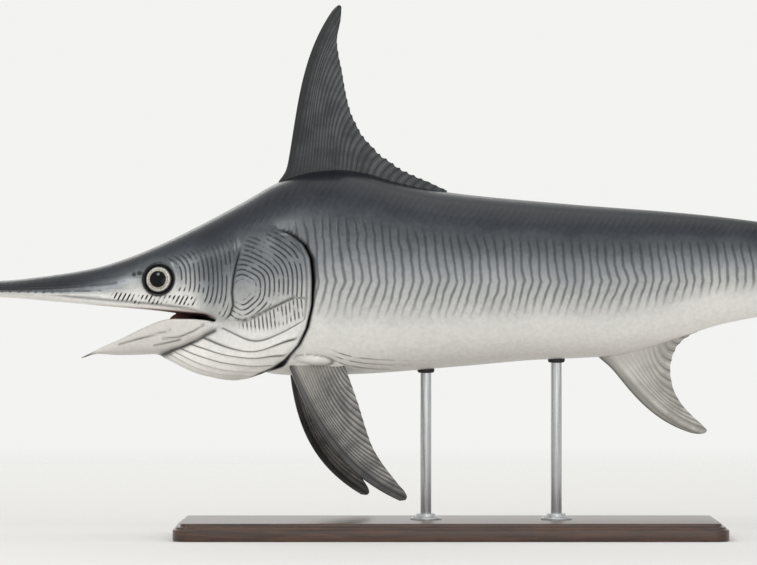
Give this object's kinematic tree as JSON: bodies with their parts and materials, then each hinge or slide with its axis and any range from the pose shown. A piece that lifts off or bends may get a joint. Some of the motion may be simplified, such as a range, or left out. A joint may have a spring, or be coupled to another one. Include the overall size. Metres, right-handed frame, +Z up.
{
  "type": "swordfish model",
  "caption": "Life-size swordfish with a long flat bill, open mouth, tall crescent back fin and forked tail, held on rods over a flat display base.",
  "frame": {"origin": "centre of the stand base's underside, on the floor", "axes": "-X towards the tip of the bill, -Y towards the fish's left side, which faces the camera, +Z up"},
  "size_m": [3.017, 0.513, 1.224],
  "materials": {
    "skin": "smooth scaleless fish skin, dark back and silvery side, slightly moist",
    "bill_skin": "smooth dark skin over bone, satin",
    "pale_skin": "smooth pale skin, slightly moist",
    "fin_skin": "thin dark fin skin over rays, satin",
    "eye": "wet, high gloss",
    "stand_wood": "dark stained wood, satin lacquer",
    "stand_steel": "brushed"
  },
  "bodies": {
    "root": {"bill": "bill_skin", "head": "skin", "lower_jaw": "pale_skin", "throat": "pale_skin", "gill_cover_left": "skin", "gill_cover_right": "skin", "eye_left": "eye", "eye_right": "eye", "torso": "skin", "tail_stock": "skin", "first_dorsal_fin": "fin_skin", "second_dorsal_fin": "fin_skin", "first_anal_fin": "fin_skin", "second_anal_fin": "fin_skin", "pectoral_fin_left": "fin_skin", "pectoral_fin_right": "fin_skin", "tail_fin_upper": "fin_skin", "tail_fin_lower": "fin_skin", "stand_base": "stand_wood", "stand_rod_front": "stand_steel", "stand_rod_rear": "stand_steel"}
  },
  "joints": []
}
